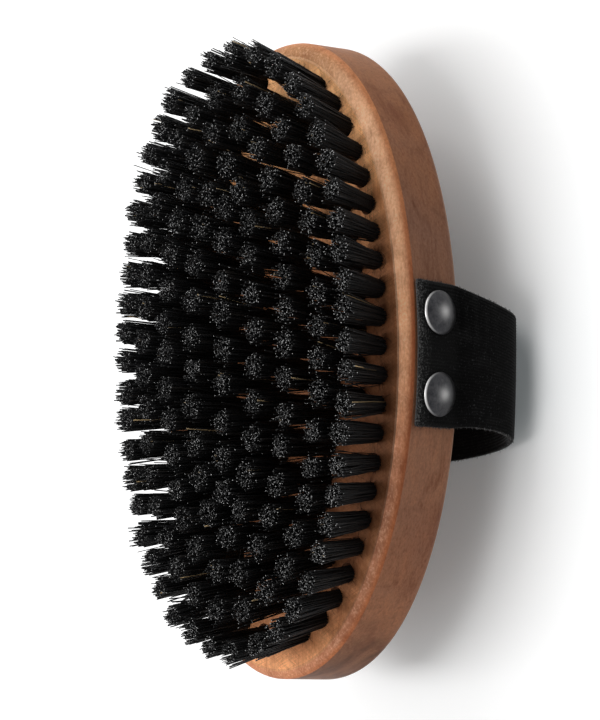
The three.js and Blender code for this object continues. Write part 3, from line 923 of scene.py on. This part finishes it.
def strap_run():
    """The middle of the webbing as rows of points, the outward way of each row, and the length so far."""
    slack = strap_edge(-STRAP_WIDTH / 2, SLACK_EDGE)
    taut = strap_edge(STRAP_WIDTH / 2, TAUT_EDGE)
    mirror = np.array([1, -1, 1])
    slack = eased(np.concatenate([slack, (slack * mirror)[-2::-1]]))
    taut = eased(np.concatenate([taut, (taut * mirror)[-2::-1]]))
    spine = (slack + taut) / 2
    out = np.cross(np.gradient(spine, axis=0), taut - slack)
    out /= np.linalg.norm(out, axis=1, keepdims=True)
    length = np.concatenate([[0], np.cumsum(np.linalg.norm(np.diff(spine, axis=0), axis=1))])
    wall_bow = wall_reach(0) - wall_reach(STRAP_WIDTH / 2)
    wall_rows, bend_rows, table_rows = STRAP_STEPS
    fade = (1 + np.cos(np.linspace(0, math.pi, bend_rows + 1))) / 2
    bow = np.concatenate([np.ones(wall_rows), fade, np.zeros(table_rows)])
    bow = np.concatenate([bow, bow[-2::-1]]) * wall_bow
    share = np.linspace(0, 1, RIBS * RIB_STEPS + 1)
    middle = slack[:, None] * (1 - share)[None, :, None] + taut[:, None] * share[None, :, None]
    lift = bow[:, None] * (1 - (2 * share - 1) ** 2) + pucker(length, share)
    return middle + out[:, None] * lift[:, :, None], out, length


def pucker(length, share):
    """Small waves that the nails at the taut side have pulled into the cloth."""
    from_end = np.minimum(length, length[-1] - length)
    first, last = PUCKER_FROM_END
    swell = np.clip((from_end - first) / (last - first), 0, 1)
    wave = np.sin(math.pi * swell) * np.sin(2 * math.pi * (from_end - first) / PUCKER_WAVE)
    aside = (share - 0.5) * STRAP_WIDTH - NAIL_SPACING / 2
    return PUCKER_HEIGHT * np.outer(wave, np.exp(-((aside / PUCKER_WIDTH) ** 2)))


def strap_piece(middle, out, length):
    """The webbing, ribbed along its length, with its weave laid out in metres on a map."""
    rows, columns = middle.shape[:2]
    share = np.linspace(0, 1, columns)
    rib = RIB_HEIGHT * np.cos(share * RIBS * 2 * math.pi)
    edge = np.clip(np.minimum(share, 1 - share) * STRAP_WIDTH / SELVEDGE, 0, 1)
    half = (STRAP_THICKNESS / 2 - RIB_HEIGHT) * (1 + np.sqrt(1 - (1 - edge) ** 2)) / 2 + rib
    outer = middle + out[:, None] * half[None, :, None]
    inner = middle - out[:, None] * half[None, :, None]
    section = np.concatenate([outer, inner[:, ::-1]], axis=1)
    piece = mesh_piece("strap_webbing", section.reshape(-1, 3), loft_faces(rows, 2 * columns))
    across = np.concatenate([share, share[::-1]]) * STRAP_WIDTH
    weave = np.stack(np.meshgrid(length, across, indexing="ij"), 2).reshape(-1, 2) * MM
    add_map(piece, "weave", weave)
    return piece


def on_strap(middle, row, column):
    """Points of the webbing at rows and columns that may lie between its own."""
    i = np.minimum(row.astype(int), middle.shape[0] - 2)
    j = np.minimum(column.astype(int), middle.shape[1] - 2)
    down = (row - i)[:, None]
    over = (column - j)[:, None]
    upper = middle[i, j] * (1 - over) + middle[i, j + 1] * over
    lower = middle[i + 1, j] * (1 - over) + middle[i + 1, j + 1] * over
    return upper * (1 - down) + lower * down


def lint_lines(start, way, lengths, random):
    """Short bent fibres that stand off the webbing and stay above the table."""
    count = len(start)
    shortest, longest = lengths
    way = way + random.normal(0, LINT_SWEEP, (count, 3))
    length = shortest + (longest - shortest) * random.random(count) ** 2
    tip = start + way * length[:, None]
    bend = (start + tip) / 2 + random.normal(0, LINT_BEND, (count, 3))
    lines = bend_lines(start, bend, tip, LINT_SPANS)
    lines[:, :, 2] = np.maximum(lines[:, :, 2], 2 * LINT_RADIUS)
    return lines


def edge_lint(middle, out, row, side, random):
    """Fibres along one edge of the webbing, at the given rows."""
    last = middle.shape[1] - 1
    near = row.astype(int)
    across = middle[near, -1] - middle[near, 0]
    across *= side / np.linalg.norm(across, axis=1, keepdims=True)
    depth = random.uniform(-LINT_DEPTH, LINT_DEPTH, len(row))[:, None] * STRAP_THICKNESS
    start = on_strap(middle, row, np.full(len(row), last * (side + 1) / 2))
    return lint_lines(start + out[near] * depth - across * SELVEDGE / 4, across, LINT_LENGTH, random)


def end_lint(middle, out, column, side, random):
    """Fibres at one cut end of the webbing, at the given columns."""
    end = 0 if side < 0 else middle.shape[0] - 1
    along = np.gradient(middle[:, middle.shape[1] // 2], axis=0)[end]
    along *= side / np.linalg.norm(along)
    depth = random.uniform(-LINT_DEPTH, LINT_DEPTH, len(column))[:, None] * STRAP_THICKNESS
    back = random.uniform(0, FRAY, len(column))[:, None]
    start = on_strap(middle, np.full(len(column), float(end)), column) + out[end] * depth - along * back
    return lint_lines(start, along + out[end] * END_LINT_RISE, LINT_LENGTH, random)


def nap_lint(middle, out, row, column, side, random):
    """Fibres over one face of the webbing."""
    way = out[row.astype(int)] * side
    start = on_strap(middle, row, column) + way * STRAP_THICKNESS / 2
    return lint_lines(start, way * NAP_RISE, NAP_LENGTH, random)


def strap_lint(middle, out, length, random):
    """The loose fibres of the webbing: paler along its edges and ends than over its faces."""
    rows, columns = middle.shape[:2]

    def some_rows(count):
        """Places along the strap."""
        return np.interp(random.uniform(0, length[-1], int(count)), length, np.arange(rows))

    def some_columns(count):
        """Places across it."""
        return random.uniform(0, columns - 1, int(count))

    rim = []
    nap = []
    for side in (-1, 1):
        rim.append(edge_lint(middle, out, some_rows(length[-1] * EDGE_LINT), side, random))
        rim.append(end_lint(middle, out, some_columns(STRAP_WIDTH * END_LINT), side, random))
        nap.append(nap_lint(middle, out, some_rows(NAP / 2), some_columns(NAP / 2), side, random))
    lines = np.concatenate(rim + nap)
    tone = random.random(len(lines)) ** 2
    tone[-sum(len(group) for group in nap):] *= NAP_TONE
    radius = LINT_RADIUS * random.uniform(*LINT_RADIUS_SPREAD, len(lines))
    return strand_piece("strap_lint", lines, HAIR_SIDES, radius, tone)


def add_strap(random):
    """The webbing with its lint, in place of the CAD's strap."""
    middle, out, length = strap_run()
    strap = strap_piece(middle, out, length)
    dress(strap, webbing_look(length[-1]), "webbing", "hand_strap")
    dress(strap_lint(middle, out, length, random), lint_look(), "webbing")


def nail_profile():
    """Radius and height of each ring of a nail, from its point to the top of its dome."""
    dome_radius = (NAIL_HEAD_RADIUS**2 + NAIL_DOME_HEIGHT**2) / (2 * NAIL_DOME_HEIGHT)
    lip_turn = math.acos(NAIL_HEAD_RADIUS / dome_radius)
    lip_radius = NAIL_HEAD_RADIUS - NAIL_FILLET
    rim_turn = math.asin((lip_radius + NAIL_FILLET * math.cos(lip_turn)) / dome_radius)
    dome_top = NAIL_HEAD_LIP + NAIL_DOME_HEIGHT
    lip_height = dome_top - dome_radius * (1 - math.cos(rim_turn)) - NAIL_FILLET * math.sin(lip_turn)
    profile = [
        (NAIL_POINT_RADIUS, -NAIL_SHANK_LENGTH),
        (NAIL_SHANK_RADIUS, NAIL_POINT_LENGTH - NAIL_SHANK_LENGTH),
        (NAIL_SHANK_RADIUS, 0),
        (lip_radius, 0),
    ]
    for turn in np.linspace(-lip_turn, lip_turn, NAIL_LIP_STEPS + 1):
        height = max(lip_height + NAIL_FILLET * math.sin(turn), 0)
        profile.append((lip_radius + NAIL_FILLET * math.cos(turn), height))
    for turn in np.linspace(rim_turn, NAIL_TOP_TURN, NAIL_DOME_STEPS + 1)[1:]:
        profile.append((dome_radius * math.sin(turn), dome_top - dome_radius * (1 - math.cos(turn))))
    return np.array(profile)


def nail_piece(name, place, out):
    """A dome-headed nail whose axis runs along `out`, with the underside of its head at `place`."""
    profile = nail_profile()
    turn = np.linspace(0, 2 * math.pi, NAIL_SIDES, endpoint=False)
    circle = np.outer(np.cos(turn), (out[1], -out[0], 0)) + np.outer(np.sin(turn), (0, 0, 1))
    rings = [place + out * height + circle * radius for radius, height in profile]
    points = np.concatenate(rings)
    piece = mesh_piece(name, points, loft_faces(len(rings), NAIL_SIDES))
    piece.data.set_sharp_from_angle(angle=NAIL_SHARP_ANGLE)
    # A painted highlight on the crown and a painted glint on the upper side of the lip
    highlight_centre = rings[-1].mean(0) + (0, 0, NAIL_HIGHLIGHT_RISE)
    from_crown = np.linalg.norm(points - highlight_centre, axis=1)
    on_lip = np.repeat(profile[:, 0] > NAIL_HEAD_RADIUS - NAIL_FILLET / 2, NAIL_SIDES)
    upper = np.clip((points[:, 2] - place[2]) / NAIL_HEAD_RADIUS, 0, 1)
    painted_highlight = NAIL_CROWN_HIGHLIGHT * np.exp(-((from_crown / NAIL_HIGHLIGHT_RADIUS) ** 2)) + on_lip * upper**2
    add_values(piece, "painted_highlight", painted_highlight)
    return piece


def add_nails(material):
    """Two nails on each side of the stock, square to its wall."""
    for row, side in (("front", -1), ("rear", 1)):
        for end, along in (("left", -1), ("right", 1)):
            x = along * NAIL_SPACING / 2
            wall = np.array([[x, side * wall_reach(x)]])
            out = np.append(oval_outward(wall, STOCK_HALF, STOCK_POWER)[0], 0)
            on_wall = np.append(wall[0], FACE_HEIGHT - NAIL_BELOW_FACE)
            place = on_wall + out * (STRAP_THICKNESS + 2 * STRAP_GAP)
            node = f"nail_{row}_{end}"
            dress(nail_piece(f"{node}_dome", place, out), material, "nail_steel", node)


def add_camera():
    """The camera that took the photograph."""
    a = CAMERA_AZIMUTH
    e = CAMERA_ELEVATION
    back = Vector((math.sin(a) * math.cos(e), -math.cos(a) * math.cos(e), math.sin(e)))
    right = Vector((math.cos(a), math.sin(a), 0))
    up = back.cross(right)
    across = math.cos(CAMERA_ROLL) * right + math.sin(CAMERA_ROLL) * up
    upright = math.cos(CAMERA_ROLL) * up - math.sin(CAMERA_ROLL) * right
    camera = new_object("camera", bpy.data.cameras.new("camera"))
    turn = Matrix((across, upright, back)).transposed().to_4x4()
    place = (Vector(CAMERA_TARGET) + back * CAMERA_DISTANCE) * MM
    camera.matrix_world = Matrix.Translation(place) @ turn
    camera.data.lens = CAMERA_LENS
    camera.data.sensor_width = CAMERA_SENSOR
    bpy.context.scene.camera = camera


def add_lamp(name, place, size, watts):
    """A soft lamp at `place`, in metres, that faces the brush; its size is along and across the brush."""
    lamp = bpy.data.lights.new(name, "AREA")
    lamp.shape = "ELLIPSE"
    lamp.size, lamp.size_y = size
    lamp.energy = watts
    made = new_object(name, lamp)
    made.location = place
    away = Vector(place).normalized()
    across = away.cross(Vector((1, 0, 0))).normalized()
    along = across.cross(away)
    made.rotation_euler = Matrix((along, across, away)).transposed().to_euler()


def seen_share(tree):
    """1 for rays that show a surface to the camera, straight or by way of metal or glass, and else 0."""
    rays = tree.nodes.new("ShaderNodeLightPath").outputs
    share = rays["Is Camera Ray"]
    for name in ("Is Glossy Ray", "Is Transmission Ray"):
        either = tree.nodes.new("ShaderNodeMath")
        either.operation = "MAXIMUM"
        tree.links.new(share, either.inputs[0])
        tree.links.new(rays[name], either.inputs[1])
        share = either.outputs[0]
    return share


def add_floor():
    """A white table that keeps the brush's shadow."""
    bpy.ops.mesh.primitive_plane_add(size=FLOOR_SIZE)
    floor = bpy.context.object
    floor.name = "floor"
    look = Look("white_table")
    seen = seen_share(look.material.node_tree)
    look.colour(look.mix("MIX", seen, rgba(FLOOR_BOUNCE), rgba(FLOOR_TONE)))
    place = look.nodes.new("ShaderNodeNewGeometry").outputs["Position"]
    distance = look.add("ShaderNodeVectorMath", {"operation": "LENGTH"}, Vector=place).outputs["Value"]
    near, far = FLOOR_GLOW_REACH
    glow = look.add("ShaderNodeMapRange", Value=distance, From_Min=near, From_Max=far, To_Min=FLOOR_GLOW)
    look.links.new(look.math("MULTIPLY", seen, glow.outputs[0]), look.shader.inputs["Emission Strength"])
    look.set(Emission_Color=rgba(FLOOR_GLOW_COLOUR), Roughness=1, Specular_IOR_Level=0)
    floor.data.materials.append(look.material)


def add_surround():
    """A dim world that is seen as plain white."""
    world = bpy.data.worlds.new("surround")
    world.use_nodes = True
    tree = world.node_tree
    background = tree.nodes["Background"]
    background.inputs["Color"].default_value = rgba(1)
    glow = tree.nodes.new("ShaderNodeMapRange")
    glow.inputs["To Min"].default_value = SURROUND_LIGHT
    tree.links.new(seen_share(tree), glow.inputs["Value"])
    tree.links.new(glow.outputs[0], background.inputs["Strength"])
    bpy.context.scene.world = world


random = np.random.default_rng(SEED)
bristle = bristle_look()
roots = tuft_roots()
stock = stock_piece()
drill(stock, on_field(np.concatenate(list(roots.values()))))
dress(stock, wood_look(), "wood", "stock")
add_tufts(roots, bristle, random)
add_loose_hairs(roots, bristle, random)
add_strap(random)
add_nails(steel_look())
add_camera()
add_floor()
add_surround()
add_lamp("panel", **PANEL)
add_lamp("top", **TOP)
add_lamp("key", **KEY)
add_lamp("fill", **FILL)
bpy.context.scene.view_settings.view_transform = "Standard"
